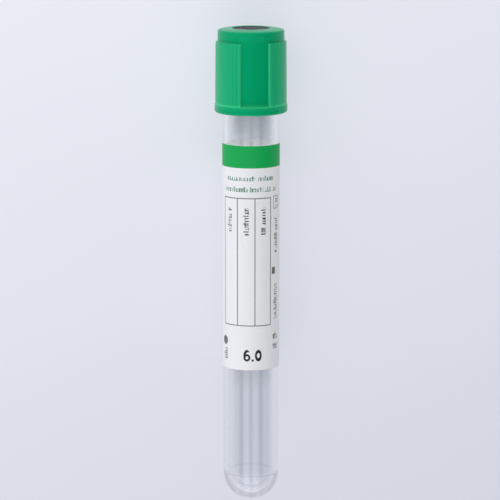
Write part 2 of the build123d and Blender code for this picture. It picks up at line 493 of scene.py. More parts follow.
@dataclass(frozen=True)
class ClearPlastic:
    """Clear moulded PET with painted streaks along the tube that stand in for refracted shade, and painted
    shade across its middle, near the closure and beyond the label's foot.

    Attributes:
        rim_tint: Its colour along its two sides, where no shade is painted.
        middle_shade_tint: Its colour between the painted streaks, a painted shade across the middle.
        streak_tint: Its colour in a painted streak.
        painted_shade_tint: Its colour where shade is painted, at the closure and beyond the label's foot.
        mark_tint: Its colour along the mould's parting line and the gate's rim.
        streak_gap: From one painted streak to the next, in metres, like all lengths here.
        streaks_end: How far from the middle the painted streaks and the painted middle shade reach.
        streaks_edge: Over what width they fade there.
        shade_from: Where along the row frame's Y the painted shade starts.
        shade_to: Where the painted shade is full.
        label_foot: Where the label ends, along the same Y.
        label_shade: How far beyond the label its painted shade reaches inside the tube.
        bend: Its index of refraction.
        roughness: Of its clearest spots.
        mirrorings: How often light is followed when the wall mirrors it.
        around: The pale colour that such light ends in, a glow that stands in for what it would reflect: a
            painted reflection.
    """

    rim_tint: Colour = (0.965, 0.97, 0.98)
    middle_shade_tint: Colour = (0.91, 0.915, 0.93)
    streak_tint: Colour = (0.80, 0.81, 0.84)
    painted_shade_tint: Colour = (0.65, 0.675, 0.69)
    mark_tint: Colour = (0.5, 0.51, 0.56)
    streak_gap: float = 0.00235
    streaks_end: float = 0.0042
    streaks_edge: float = 0.0012
    shade_from: float = 0.0285
    shade_to: float = 0.0365
    label_foot: float = -0.0232
    label_shade: float = 0.0055
    bend: float = 1.575
    roughness: float = 0.012
    mirrorings: int = 2
    around: Colour = (0.5, 0.515, 0.58)

    def material(self) -> bpy.types.Material:
        """Builds the material, which reads the piece's own marks."""
        recipe = Recipe(bpy.data.materials.new("clear_pet"))
        flow = recipe.noise(1.6, 2.0, scale=(1.0, 0.03, 1.0))
        wander = recipe.noise(3.0, 1.0, scale=(0.5, 0.02, 0.2))
        haze = recipe.noise(4.0, 3.0)
        across, along, _ = recipe.parts(recipe.places)
        # Painted streaks along the tube and a painted shade across its middle stand in for shade and light
        # refracted through the walls.
        turn = across * (2 * np.pi / self.streak_gap) + 3.0 * (wander - 0.5)
        middle = across.within(self.streaks_end, self.streaks_edge)
        line = recipe.maths("COSINE", turn).mapped(-0.2, 1.0) * middle
        streaked = recipe.mix(middle, self.rim_tint, self.middle_shade_tint).over(self.streak_tint, line)
        # Painted shade across the middle, near the closure and just beyond the label's foot; grey is this
        # painted shade's mask.
        at_closure = along.mapped(self.shade_from, self.shade_to)
        at_label = along.mapped(self.label_foot - self.label_shade, self.label_foot, 0.0, 0.5)
        under_label = along.mapped(self.label_foot, self.label_foot + 0.001, 1.0, 0.0)
        grey = (at_closure + at_label * under_label) * across.within(self.streaks_end, 0.002)
        shaded = streaked.over(self.painted_shade_tint, grey)
        plastic = recipe.principled(
            {
                "Base Color": shaded.over(self.mark_tint, recipe.attribute("marks")),
                "Roughness": haze.mapped(0.35, 0.7, self.roughness, 2 * self.roughness),
                "IOR": self.bend,
                "Transmission Weight": 1.0,
                "Normal": recipe.bumped(flow, 0.01),
            }
        )
        return recipe.surface(recipe.ended_after(plastic, self.mirrorings, self.around))


@dataclass(frozen=True)
class MouldedGreen:
    """Semi-gloss moulded polyethylene: deep green, paler on the grip pads, partly their own tone and partly
    painted light, with a painted highlight along their edges and the flange's top edge.
    """

    green: Colour = (0.0, 0.32, 0.128)
    # pale is the pads' tone, partly their own and partly painted light; edge is a painted highlight along the
    # pads' edges and the flange's top edge.
    pale: Colour = (0.016, 0.41, 0.178)
    edge: Colour = (0.045, 0.62, 0.27)
    sheen: Colour = (0.1, 0.9, 0.55)
    roughness: float = 0.27

    def material(self) -> bpy.types.Material:
        """Builds the material, which reads the piece's own pad tone and painted highlights."""
        recipe = Recipe(bpy.data.materials.new("shield_green"))
        flow = recipe.noise(3.5, 3.0, scale=(1.0, 0.25, 1.0))
        grain = recipe.noise(0.12, 2.0)
        scuffs = recipe.noise(0.35, 1.0, scale=(1.0, 0.06, 1.0))
        paleness = recipe.attribute("paleness")
        pads = paleness.mapped(0.0, 0.5) + flow.mapped(0.35, 0.7, -0.06, 0.08)
        body = recipe.mix(pads.held(), self.green, self.pale)
        plastic = recipe.principled(
            {
                # The edge colour laid over here is a painted highlight.
                "Base Color": body.over(self.edge, paleness.mapped(0.5, 1.0)),
                "Roughness": self.roughness + 0.1 * (grain - 0.5) + scuffs.mapped(0.55, 0.75, 0.0, 0.08),
                "IOR": 1.5,
                "Specular IOR Level": 0.25,
                "Specular Tint": self.sheen,
                "Normal": recipe.bumped(0.7 * grain + 0.3 * scuffs, 0.006),
            }
        )
        return recipe.surface(plastic)


@dataclass(frozen=True)
class StopperRubber:
    """Matt dark grey rubber with a little pale bloom."""

    grey: Colour = (0.035, 0.038, 0.04)
    bloom: Colour = (0.09, 0.095, 0.1)

    def material(self) -> bpy.types.Material:
        """Builds the material."""
        recipe = Recipe(bpy.data.materials.new("stopper_rubber"))
        cloud = recipe.noise(1.6, 4.0, 0.6)
        rubber = recipe.principled(
            {
                "Base Color": recipe.mix(cloud.mapped(0.4, 0.75, 0.0, 0.55), self.grey, self.bloom),
                "Roughness": cloud.mapped(0.3, 0.7, 0.5, 0.66),
                "Normal": recipe.bumped(recipe.noise(0.09, 2.0), 0.012),
            }
        )
        return recipe.surface(rubber)


# ---------------------------------------------------------------- the label's print


class Ink(Enum):
    """Inks of the label's print, as colours."""

    GREEN = (0.004, 0.37, 0.08)
    DARK_GREEN = (0.11, 0.25, 0.175)
    GREY = (0.15, 0.15, 0.158)
    BLACK = (0.018, 0.018, 0.02)


@dataclass(frozen=True)
class Patch:
    """A rectangle on the label, from one angle to another and from one height to another."""

    left: float
    right: float
    low: float
    high: float


@dataclass(frozen=True)
class StrokeLine:
    """A line of short plain strokes, where a label carries writing.

    Attributes:
        patch: What the line covers.
        ink: Its colour.
        seed: Where in the noise it starts, which picks its strokes.
        down: Whether it runs down the tube instead of round it.
        pitch: From stroke to stroke.
    """

    patch: Patch
    ink: Ink
    seed: float
    down: bool = False
    pitch: float = 0.62


class Print:
    """Expressions for what is printed on the label, as masks from 0 to 1.

    Attributes:
        edge: Width of the soft edge of every mark.
        row: Rough height of a row of strokes.
        row_fill: Share of a row that its strokes may fill.
        drift: How far, in steps, the slow noise shifts a row's steps.
        drift_rate: How far along the slow noise one step goes.
        row_seed: Sets each row's noise apart from the next.
        bare: Share of steps without a stroke.
        half_widths: Half widths of the narrowest and widest stroke, in steps.
        low: Share of strokes that reach only low_reach of the height.
        bars_from: Share of steps without a bar.
        head_bars_from: Share of steps without a bar at the head.
        foot_bar: Middle of a bar at the foot, as a share of the height.
        bar_climb: From there to the middle of a bar at the head.
        half_bar: Half of a bar's thickness.
    """

    edge = 0.05
    row = 1.4
    row_fill = 0.86
    drift = 1.1
    drift_rate = 0.55
    row_seed = 17.0
    bare = 0.1
    half_widths = (0.16, 0.27)
    low = 0.68
    low_reach = 0.7
    bars_from = 0.3
    head_bars_from = 0.66
    foot_bar = 0.09
    bar_climb = 0.58
    half_bar = 0.075

    def __init__(self, recipe: Recipe, wrap: LabelWrap) -> None:
        """Reads the label's own map, as millimetres round the tube and up it."""
        self.recipe = recipe
        self.wrap = wrap
        around, up, _ = recipe.parts(recipe.node("UVMap", uv_map="wrap").outputs[0])
        self.round = around * (360 * wrap.per_degree)
        self.height = up * wrap.length + wrap.foot

    def round_place(self, angle: float) -> float:
        """The map's millimetres at an angle."""
        return (angle + 180) * self.wrap.per_degree

    def offsets(self, patch: Patch) -> tuple[tuple[Number, float], tuple[Number, float]]:
        """How far round and up from a rectangle's middle, each with half of the rectangle's size."""
        left, right = self.round_place(patch.left), self.round_place(patch.right)
        around = self.round - (left + right) / 2, (right - left) / 2
        return around, (self.height - (patch.low + patch.high) / 2, (patch.high - patch.low) / 2)

    def box(self, patch: Patch) -> Number:
        """A filled rectangle."""
        across, up = (offset.within(half, self.edge) for offset, half in self.offsets(patch))
        return across & up

    def inside(self, patch: Patch) -> Number:
        """1 inside a rectangle and 0 outside it, with hard edges."""
        across, up = (half - abs(offset) for offset, half in self.offsets(patch))
        return (across & up) > 0.0

    def outline(self, patch: Patch, stroke: float) -> Number:
        """A rectangle's outline: the rectangle, less the same one drawn in by the stroke's width."""
        inset = stroke / self.wrap.per_degree
        hole = Patch(patch.left + inset, patch.right - inset, patch.low + stroke, patch.high - stroke)
        return (self.box(patch) - self.box(hole)).held()

    def ring(self, angle: float, height: float, radii: tuple[float, float], stroke: float) -> Number:
        """An oval ring or, with a stroke of its smaller radius, an oval.

        Args:
            angle: Its middle.
            height: Its middle.
            radii: Half its width and half its height.
            stroke: Width of its line, inwards.

        Returns:
            Where the distance from the middle, scaled to the oval, lies in the line.
        """
        across = (self.round - self.round_place(angle)) / radii[0]
        up = (self.height - height) / radii[1]
        reach = (across * across + up * up) ** 0.5
        half = stroke / 2 / min(radii)
        return (reach - (1 - half)).within(half, self.edge / min(radii))

    def strokes(self, lines: Sequence[StrokeLine]) -> tuple[Number, dict[Ink, Number]]:
        """Short strokes of uneven width and height, side by side, some joined by a bar at foot or head.

        The lines don't overlap, so each adds its own distance along and across to one sum. A tall patch is
        shared out among rows. A row is cut into steps of about the line's pitch, shifted by slow noise. A
        step's own three numbers come from white noise: the first sets how high its stroke reaches, the second
        how wide it is, or that the step is bare, and the third whether and where a bar joins it to the next.

        Args:
            lines: Where and how.

        Returns:
            The mask of all strokes, and where each ink prints.
        """
        along = across = tall = Number(self.recipe, self.recipe.node("Value").outputs[0])
        inks = {line.ink: tall for line in lines}
        for line in lines:
            patch, inside = line.patch, self.inside(line.patch)
            left, right = self.round_place(patch.left), self.round_place(patch.right)
            height = right - left if line.down else patch.high - patch.low
            row = height / max(1, round(height / self.row))
            start = self.height * -1.0 if line.down else self.round
            rise = right - self.round if line.down else self.height - patch.low
            along = along + inside * (start / line.pitch + line.seed)
            across = across + inside * (rise / row)
            tall = tall + inside * row
            inks[line.ink] = inks[line.ink] + inside
        row = across // 1.0
        across = (across % 1.0) * tall
        tall = tall * self.row_fill
        slow = {"W": along * self.drift_rate, "Detail": 0.0}
        slow_noise = self.recipe.node("TexNoise", slow, noise_dimensions="1D").outputs[0]
        warped = along + self.drift * Number(self.recipe, slow_noise)
        step = warped // 1.0 + row * self.row_seed
        seeded = self.recipe.node("TexWhiteNoise", {"W": step}, noise_dimensions="1D")
        tallness, width, bar = self.recipe.parts(seeded.outputs["Color"], "Color")
        reach = ((tallness > self.low) * (1 - self.low_reach) + self.low_reach) * tall
        half_stroke = width.mapped(self.bare, 1.0, *self.half_widths)
        stroke = (warped % 1.0 - 0.5).within(half_stroke, self.edge * 1.6)
        upright = (across - reach / 2).within(reach / 2, self.edge)
        bar_middle = ((bar > self.head_bars_from) * self.bar_climb + self.foot_bar) * tall
        joined = (across - bar_middle).within(self.half_bar * tall, self.edge) * (bar > self.bars_from)
        return ((stroke * upright) | joined) * (width > self.bare), inks

    def figures(self, angle: float, low: float, high: float) -> Number:
        """The plain figures 6.0, bold, for the volume: two oval rings, a bowed stem and a dot.

        Args:
            angle: Middle of the dot.
            low: Foot of the figures.
            high: Head of the figures.

        Returns:
            The mask.
        """
        tall, middle = high - low, (low + high) / 2
        half_wide, stroke, half_bowl = 0.3 * tall, 0.17 * tall, 0.32 * tall
        aside = (half_wide + 0.2 * tall) / self.wrap.per_degree
        nought = self.ring(angle + aside, middle, (half_wide, tall / 2), stroke)
        bowl = self.ring(angle - aside, low + half_bowl, (half_wide, half_bowl), stroke)
        bow = self.ring(angle - aside, middle, (half_wide, tall / 2), stroke)
        left_half = (self.round - self.round_place(angle - aside) + 2.0).within(2.0, self.edge)
        top, above_bowl = ((self.height - high).within(share * tall, self.edge) for share in (0.2, 0.68))
        reach = 0.09 * tall / self.wrap.per_degree
        dot = self.box(Patch(angle - reach, angle + reach, low, low + 0.18 * tall))
        return nought | bowl | (bow * above_bowl * (left_half | top)) | dot


@dataclass(frozen=True)
class LabelPaper:
    """White satin label stock with its print."""

    white: Colour = (0.82, 0.82, 0.835)
    fibre: Colour = (0.765, 0.765, 0.785)
    frame_patch: Patch = Patch(-64.7, 43.9, 42.0, 71.7)
    dividers: tuple[float, ...] = (-28.3, 8.0)
    rule_width: float = 0.22
    band: Patch = Patch(-200.0, 200.0, 78.52, 84.5)
    lines: tuple[StrokeLine, ...] = (
        StrokeLine(Patch(-57.5, 7.3, 75.6, 76.9), Ink.DARK_GREEN, 3.0),
        StrokeLine(Patch(14.4, 49.1, 75.6, 76.9), Ink.DARK_GREEN, 11.0),
        StrokeLine(Patch(-65.6, -6.7, 73.05, 74.4), Ink.DARK_GREEN, 23.0),
        StrokeLine(Patch(-2.6, 57.6, 73.05, 74.4), Ink.DARK_GREEN, 37.0),
        StrokeLine(Patch(-55.2, -42.1, 63.8, 69.3), Ink.BLACK, 41.0, down=True),
        StrokeLine(Patch(-17.5, -4.4, 62.9, 69.3), Ink.BLACK, 53.0, down=True),
        StrokeLine(Patch(18.9, 30.5, 63.2, 69.4), Ink.BLACK, 61.0, down=True),
        StrokeLine(Patch(54.0, 64.5, 69.4, 71.4), Ink.GREY, 71.0, down=True, pitch=0.5),
        StrokeLine(Patch(51.2, 65.5, 59.7, 66.7), Ink.GREY, 83.0, down=True, pitch=0.5),
        StrokeLine(Patch(50.0, 63.6, 43.3, 51.4), Ink.GREY, 97.0, down=True, pitch=0.5),
        StrokeLine(Patch(49.0, 66.4, 38.6, 40.3), Ink.GREY, 89.0),
        StrokeLine(Patch(49.0, 66.4, 36.3, 37.8), Ink.GREY, 107.0),
        StrokeLine(Patch(-69.7, -55.5, 33.7, 36.6), Ink.GREY, 101.0, down=True, pitch=0.55),
    )
    boxed: Patch = Patch(51.1, 67.3, 68.9, 71.9)
    box_stroke: float = 0.16
    blocks: tuple[Patch, ...] = (Patch(56.0, 62.0, 58.7, 59.3), Patch(46.8, 56.9, 53.8, 55.4))
    disc_middle: tuple[float, float] = (-63.7, 38.25)
    disc_radius: float = 1.04
    figures_middle: float = 3.35
    figures_low: float = 33.8
    figures_high: float = 36.5

    def material(self, wrap: LabelWrap) -> bpy.types.Material:
        """Builds the material for the label that it covers."""
        recipe = Recipe(bpy.data.materials.new("label_face"))
        art = Print(recipe, wrap)
        fibre = recipe.noise(0.35, 3.0)
        colour = recipe.mix(fibre.mapped(0.4, 0.7, 0.0, 0.5), self.white, self.fibre)
        colour = colour.over(Ink.GREEN.value, art.box(self.band))
        thin = art.outline(self.frame_patch, self.rule_width)
        half = self.rule_width / 2 / wrap.per_degree
        low, high = self.frame_patch.low, self.frame_patch.high
        for angle in self.dividers:
            thin = thin | art.box(Patch(angle - half, angle + half, low, high))
        disc = art.ring(*self.disc_middle, (self.disc_radius, self.disc_radius), self.disc_radius)
        marks = art.outline(self.boxed, self.box_stroke) | disc
        for block in self.blocks:
            marks = marks | art.box(block)
        volume = art.figures(self.figures_middle, self.figures_low, self.figures_high)
        colour = colour.over(Ink.GREY.value, thin | marks).over(Ink.BLACK.value, volume)
        strokes, inks = art.strokes(self.lines)
        for ink, share in inks.items():
            colour = colour.over(ink.value, strokes * share)
        paper = recipe.principled(
            {
                "Base Color": colour,
                "Roughness": fibre.mapped(0.3, 0.7, 0.42, 0.5),
                "Specular IOR Level": 0.2,
                "Normal": recipe.bumped(fibre, 0.004),
            }
        )
        return recipe.surface(paper)


@dataclass(frozen=True)
class LabelBacking:
    """Plain off-white underside of the label, with its adhesive and a painted glow, given off as emission,
    that stands in for light shining through.
    """

    white: Colour = (0.84, 0.84, 0.85)
    damp: Colour = (0.77, 0.77, 0.78)
    painted_glow: float = 0.245

    def material(self) -> bpy.types.Material:
        """Builds the material."""
        recipe = Recipe(bpy.data.materials.new("label_backing"))
        streak = recipe.noise(1.2, 3.0, scale=(1.0, 0.2, 1.0))
        paper = recipe.mix(streak.mapped(0.35, 0.7), self.white, self.damp)
        backing = recipe.principled(
            {
                "Base Color": paper,
                # Painted glow: emission in the paper's colour stands in for light through the label.
                "Emission Color": paper,
                "Emission Strength": self.painted_glow,
                "Roughness": streak.mapped(0.3, 0.7, 0.4, 0.55),
            }
        )
        return recipe.surface(backing)


# ---------------------------------------------------------------- pieces


@dataclass(frozen=True)
class LabelWrap:
    """The printed label round the tube, whose end laps over its start underneath."""

    foot: float = 31.74
    length: float = 51.9
    lap_angle: float = 180.0
    lap_width: float = 3.0
    climb: float = 0.6
    thickness: float = 0.1
    glue: float = 0.02
    map_radius: float = 6.58
    columns: int = 280
    longest: float = 1.3

    @property
    def per_degree(self) -> float:
        """Millimetres round the label for one degree."""
        return float(np.radians(1.0) * self.map_radius)

    def skin(self, tube: ClearTube) -> Skin:
        """Builds the label: a closed section (outer face up, inner face down) carried round the tube.

        Before the lap the section rises by the label's thickness and a film of glue, as 3 t^2 - 2 t^3 with t
        from 0 to 1 along the climb, so that the end lies on the start.

        Args:
            tube: The tube that it is wrapped round.

        Returns:
            The skin, with the wrap's map.
        """
        heights = filled(np.array([[0.0, self.foot], [0.0, self.foot + self.length]]), self.longest)[:, 1]
        wall = tube.outside(heights)
        half = self.lap_width / 2 / self.per_degree
        angles = np.linspace(self.lap_angle - half - 360, self.lap_angle + half, self.columns)
        climbed = np.clip(1 + (angles - self.lap_angle + half) * self.per_degree / self.climb, 0, 1)
        lift = (self.thickness + self.glue) * climbed**2 * (3 - 2 * climbed)
        outer = np.stack([wall + self.glue + self.thickness, heights], axis=1)
        inner = np.stack([wall + self.glue, heights], axis=1)[::-1]
        section = np.concatenate([outer, inner])
        grid = turned(section, angles, lift)
        rows, columns, _ = grid.shape
        row = np.arange(len(heights) - 1)
        ends = np.stack([row, row + 1, rows - 2 - row, rows - 1 - row], axis=1) * columns
        caps = np.concatenate([ends, ends[:, ::-1] + columns - 1])
        across, up = (angles[None] + 180) / 360, (section[:, 1:] - self.foot) / self.length
        wrap = np.stack(np.broadcast_arrays(across, up), axis=-1).reshape(-1, 2)
        quads = np.concatenate([cells(rows, columns, rows_close=True, columns_close=False), caps])
        return Skin(grid.reshape(-1, 3), quads, wrap=wrap)

    def build(self, axis: TubeAxis, tube: ClearTube) -> bpy.types.Object:
        """Builds the label round the tube, with its print on the faces that look away from the axis."""
        finishes = [LabelPaper().material(self), LabelBacking().material()]
        piece = make_piece("label_wrap", self.skin(tube), axis, finishes)
        polygons = piece.data.polygons
        middles, normals = np.zeros((2, len(polygons) * 3))
        polygons.foreach_get("center", middles)
        polygons.foreach_get("normal", normals)
        outwards = middles.reshape(-1, 3) - axis.pole
        outwards -= (outwards @ axis.along)[:, None] * axis.along
        facing = np.einsum("ij,ij->i", outwards, normals.reshape(-1, 3))
        plain = facing <= 0.5 * np.linalg.norm(outwards, axis=1)
        polygons.foreach_set("material_index", plain.astype(np.int32))
        piece.data.update()
        return piece


@dataclass(frozen=True)
class ClearTube:
    """The clear tube: round end with a thicker base and the gate's dimple, drafted wall, rounded lip."""

    length: float = 100.0
    mouth_radius: float = 6.5
    base_radius: float = 6.35
    parallel_top: float = 30.35
    wall: float = 1.05
    base_thickness: float = 2.0
    lip_rounding: float = 0.3
    gate_radius: float = 1.4
    gate_depth: float = 0.3
    gate_slope: float = 0.03
    gate_rounding: float = 0.08
    gate_rim: float = 0.12
    stub_radius: float = 0.5
    parting_height: float = 6.6
    parting_depth: float = 0.035
    parting_width: float = 0.24
    end_steps: int = 44
    longest: float = 0.9
    columns: int = 200

    def outside(self, heights: Floats) -> Floats:
        """The wall's outside radius: parallel next to the round end, then widening evenly to the mouth."""
        return np.interp(heights, [self.parallel_top, self.length], [self.base_radius, self.mouth_radius])

    def end_height(self, radius: float) -> float:
        """Height of the round end's outside at a radius: R - sqrt(R^2 - radius^2)."""
        return float(self.base_radius - np.sqrt(self.base_radius**2 - radius**2))

    def skin(self) -> Skin:
        """Builds the tube: its outside from the gate to the lip, then its bore down to the base."""
        end_radius, mouth_radius, lip = self.base_radius, self.mouth_radius, self.lip_rounding
        bore_base = end_radius - self.wall
        bore_foot = self.base_thickness + bore_base
        gate_turn = float(np.degrees(np.arcsin(self.gate_radius / end_radius)))
        gate = rounded(
            [
                (0.0, 0.0),
                (self.stub_radius, self.end_height(self.stub_radius), self.gate_rounding),
                (self.stub_radius + self.gate_slope, self.gate_depth, self.gate_rounding),
                (self.gate_radius - self.gate_slope, self.gate_depth, self.gate_rounding),
                (self.gate_radius, self.end_height(self.gate_radius)),
            ],
            steps=5,
        )
        wall = rounded(
            [
                (end_radius, end_radius),
                (end_radius, self.parting_height - self.parting_width / 2),
                (end_radius - self.parting_depth, self.parting_height),
                (end_radius, self.parting_height + self.parting_width / 2),
                (end_radius, self.parallel_top),
                (mouth_radius, self.length, lip),
                (mouth_radius - self.wall, self.length, lip),
                (bore_base, bore_foot),
            ]
        )
        end = arc((0.0, end_radius), end_radius, gate_turn - 90, 0, self.end_steps)
        base = arc((0.0, bore_foot), bore_base, 0, -90, self.end_steps)
        outline = np.concatenate([gate[1:], end[1:], filled(wall, self.longest)[1:], base[1:-1]])
        return lathed(outline, self.columns, 0.0, self.base_thickness)

    def marks(self, points: Floats) -> Floats:
        """Where the mould left its marks: 0.9 in the parting line and on the gate's rim, else 0."""
        radius = np.hypot(points[:, 0], points[:, 1])
        parting = np.abs(self.base_radius - self.parting_depth - radius) < self.parting_depth / 2
        at_parting = np.abs(points[:, 2] - self.parting_height) < self.parting_width / 4
        rim = (np.abs(radius - self.gate_radius) < self.gate_rim) & (points[:, 2] < self.gate_depth)
        return 0.9 * (parting & at_parting) + 0.9 * rim

    def build(self, axis: TubeAxis) -> bpy.types.Object:
        """Builds and dresses the tube."""
        skin = self.skin()
        finishes = [ClearPlastic().material()]
        piece = make_piece("clear_tube", skin, axis, finishes, marks=self.marks(skin.points))
        # The room's and bounced light reach what lies behind the clear wall as if it weren't there.
        piece.visible_diffuse = False
        piece.visible_shadow = False
        return piece


@dataclass(frozen=True)
class Shield:
    """The green shield: flange, three flared grip pads with grooves, collar, ported top and bore."""

    foot: float = 90.6
    top: float = 109.8
    rim_top: float = 109.4
    wall_radius: float = 7.6
    bore_radius: float = 6.8
    flange_radius: float = 8.3
    flange_top: float = 92.6
    flange_foot_rounding: float = 0.6
    flange_top_rounding: float = 0.25
    top_rounding: float = 0.5
    plate_underside: float = 107.8
    port_radius: float = 4.3
    port_rounding: float = 0.12
    port_land: float = 0.45
    lead_in: float = 0.4
    ledge_climb: float = 0.4
    bead_height: float = 103.5
    bead_radius: float = 0.35
    pad_top: float = 106.9
    pad_proud: float = 0.47
    pad_flare: float = 0.09
    pad_rounding: float = 0.25
    pad_arc: float = 72.0
    pad_middles: tuple[float, ...] = (67.0, 187.0, 307.0)
    groove_insets: tuple[float, ...] = (6.2, 12.8)
    groove_radii: tuple[float, ...] = (0.16, 0.22)
    groove_depth: float = 0.07
    groove_stop: float = 0.9
    wall_rows: int = 14
    column_turn: float = 1.6
    closest_turn: float = 0.25
    step: float = 0.012
    curve: tuple[float, ...] = (1.0, 0.97, 0.87, 0.7, 0.45, 0.15)
    # The shares and widths below set the pads' tone, partly painted light, and the painted highlights along
    # the pads' borders and sides and the flange's top edge.
    pad_share: float = 0.4
    border_highlight_share: float = 0.15
    side_highlight_share: float = 0.5
    flange_highlight_share: float = 0.8
    collar_share: float = 0.1
    border_highlight_width: float = 2.2
    side_highlight_width: float = 0.7
    flange_highlight_width: float = 0.25

    @property
    def crest_radius(self) -> float:
        """Radius of a pad's crest at its top."""
        return self.wall_radius + self.pad_proud

    @property
    def per_degree(self) -> float:
        """Millimetres round a pad's crest for one degree."""
        return float(np.radians(1.0) * self.crest_radius)

    def groove_halves(self) -> Floats:
        """Half the width of each groove at the crest: sqrt(r^2 - (r - depth)^2)."""
        radii = np.array(self.groove_radii)
        return np.sqrt(radii**2 - (radii - self.groove_depth) ** 2)

    def rounding_insets(self) -> Floats:
        """How far in from a pad's edge its rounding's points lie: rounding (1 - cos t), t from 0 to 90."""
        return self.pad_rounding * (1 - np.cos(np.radians(np.linspace(0, 90, 8))))

    def rise(self, inset: Floats) -> Floats:
        """Height of a pad above the wall at a distance in from its edge, as a share of its full height.

        It is nothing outside the edge. Inside, it follows a quarter circle of the pad's rounding up to the
        crest.
        """
        left = np.clip(self.pad_rounding - inset, 0, self.pad_rounding)
        height = self.pad_proud - self.pad_rounding + np.sqrt(self.pad_rounding**2 - left**2)
        return np.where(inset < -self.step / 2, 0.0, height / self.pad_proud)

    def angles(self) -> Floats:
        """Columns of the skin: even ones, with close ones at each pad's edges and grooves."""
        edge = np.concatenate([[-self.step * 2, -self.step], self.rounding_insets()]) / self.per_degree
        curve = np.array(self.curve)
        spots = [
            inset + np.concatenate([-curve, [0.0], curve[::-1]]) * half / self.per_degree
            for inset, half in zip(self.groove_insets, self.groove_halves())
        ]
        insets = np.concatenate([edge, *spots])
        half = self.pad_arc / 2
        offsets = np.concatenate([insets - half, half - insets])
        close = (np.array(self.pad_middles)[:, None] + offsets).ravel() % 360
        even = np.arange(0, 360, self.column_turn)
        apart = np.abs((even[:, None] - close + 180) % 360 - 180).min(axis=1)
        return np.sort(np.concatenate([even[apart > self.closest_turn], close]))

    def crest(self, heights: Floats) -> Floats:
        """Radius of a pad's crest, which flares evenly from its top to the flange."""
        ends = [self.flange_top, self.pad_top]
        return np.interp(heights, ends, [self.crest_radius + self.pad_flare, self.crest_radius])

    def crown(self) -> Floats:
        """The top's arc, from its rim's corner up to the flat ring round the port, where it is level."""
        land = self.port_radius + self.port_land
        run, rise = self.wall_radius - land, self.top - self.rim_top
        radius = (run**2 + rise**2) / (2 * rise)
        return arc((land, self.top - radius), radius, float(np.degrees(np.arccos(run / radius))), 90, 10)

    def foot_sections(self) -> tuple[Floats, Floats]:
        """The flange and the start of the wall above it, between the pads and through a pad."""
        rounding, top = self.flange_top_rounding, self.flange_top
        flange = rounded(
            [
                (self.bore_radius + self.lead_in, self.foot),
                (self.flange_radius, self.foot, self.flange_foot_rounding),
                (self.flange_radius, top - rounding),
            ],
            steps=10,
        )
        centre = (self.flange_radius - rounding, top - rounding)
        meet = float(np.degrees(np.arccos((self.crest(np.array([top]))[0] - centre[0]) / rounding)))
        shoulder, pad_shoulder = (arc(centre, rounding, 0, stop, 8)[1:] for stop in (90, meet))
        ledge_radii = np.linspace(centre[0], self.wall_radius, 6)[1:]
        climb = np.linspace(top, top + self.ledge_climb, 6)[1:]
        plain = np.stack([ledge_radii, np.full(5, top)], axis=1)
        pad = np.stack([self.crest(climb), climb], axis=1)
        return np.concatenate([flange, shoulder, plain]), np.concatenate([flange, pad_shoulder, pad])

    def wall_sections(self) -> tuple[Floats, Floats]:
        """The wall up to the collar, between the pads and through a pad."""
        stop = self.pad_top - self.groove_stop
        ends = [stop + np.array((0.0, *self.curve[::-1])) * half for half in self.groove_halves()]
        tops = self.pad_top - self.rounding_insets()
        even = np.linspace(self.flange_top + 2 * self.ledge_climb, stop - 0.3, self.wall_rows)
        above = self.pad_top + self.step * np.array([1, 2])
        rows = np.unique(np.round(np.concatenate([even, *ends, tops, above]), 6))
        pad = self.wall_radius + self.rise(self.pad_top - rows) * (self.crest(rows) - self.wall_radius)
        return tuple(np.stack([radii, rows], axis=1) for radii in (np.full(len(rows), self.wall_radius), pad))

    def rest(self, start: float) -> Floats:
        """The collar from a height up, the top, the port, and the bore with its grip ring."""
        wall, bore, port, under = self.wall_radius, self.bore_radius, self.port_radius, self.plate_underside
        top = rounded(
            [
                (wall, start),
                (wall, self.rim_top, self.top_rounding),
                *map(tuple, self.crown()[2:].tolist()),
                (port, self.top, self.port_rounding),
                (port, under, 0.1),
                (bore, under, 0.2),
                (bore, self.bead_height + self.bead_radius),
            ],
            steps=9,
        )
        bead = arc((bore, self.bead_height), self.bead_radius, 90, 270, 13)
        skirt = rounded(
            [
                (bore, self.bead_height - self.bead_radius),
                (bore, self.foot + self.lead_in, 0.1),
                (bore + self.lead_in, self.foot),
            ]
        )
        return np.concatenate([filled(top, 0.8), bead[1:-1], filled(skirt, 1.5)[:-1]])

    def grooves(self, inset: Floats, heights: Floats) -> Floats:
        """Depth of the grooves, whose round bottoms are part of a circle that is centred above the crest.

        At a distance d from a groove's middle line, or from its round end's middle, it is
        sqrt(r^2 - d^2) - (r - depth), or nothing where that is negative.

        Args:
            inset: Degrees in from a pad's edge, one for each column.
            heights: One for each row.

        Returns:
            The depth for each row and column.
        """
        past = np.clip(heights - (self.pad_top - self.groove_stop), 0, None)[:, None]
        on_pad = np.clip((heights - self.flange_top + 0.1) / 0.1, 0, 1)[:, None]
        depths = []
        for place, radius in zip(self.groove_insets, self.groove_radii):
            reach = np.hypot((inset - place) * self.per_degree, past)
            depths.append(np.sqrt(np.clip(radius**2 - reach**2, 0, None)) - (radius - self.groove_depth))
        return np.clip(np.maximum(*depths), 0, None) * on_pad

    def paleness(self, points: Floats) -> Floats:
        """How pale the green is: 0 in the recesses, about 1/2 on the pads, partly their own tone and partly
        painted light, and 1 along edges, where it is a painted highlight.

        An edge's share falls off as a bell, exp(-(distance / width)^2), from the pads' sides, by the degree,
        and from the flange's top edge.

        Args:
            points: Points in the upright frame.

        Returns:
            One number a point, from 0 to 1.
        """
        angles = np.degrees(np.arctan2(points[:, 0], -points[:, 1]))
        period = 360.0 / len(self.pad_middles)
        off_middle = (angles - self.pad_middles[0] + period / 2) % period - period / 2
        off_edge = np.abs(off_middle) - self.pad_arc / 2
        height = points[:, 2]
        level = (height > self.flange_top) & (height < self.pad_top + 0.2)
        on_pad = np.clip((0.6 - off_edge) / 1.2, 0, 1) * level
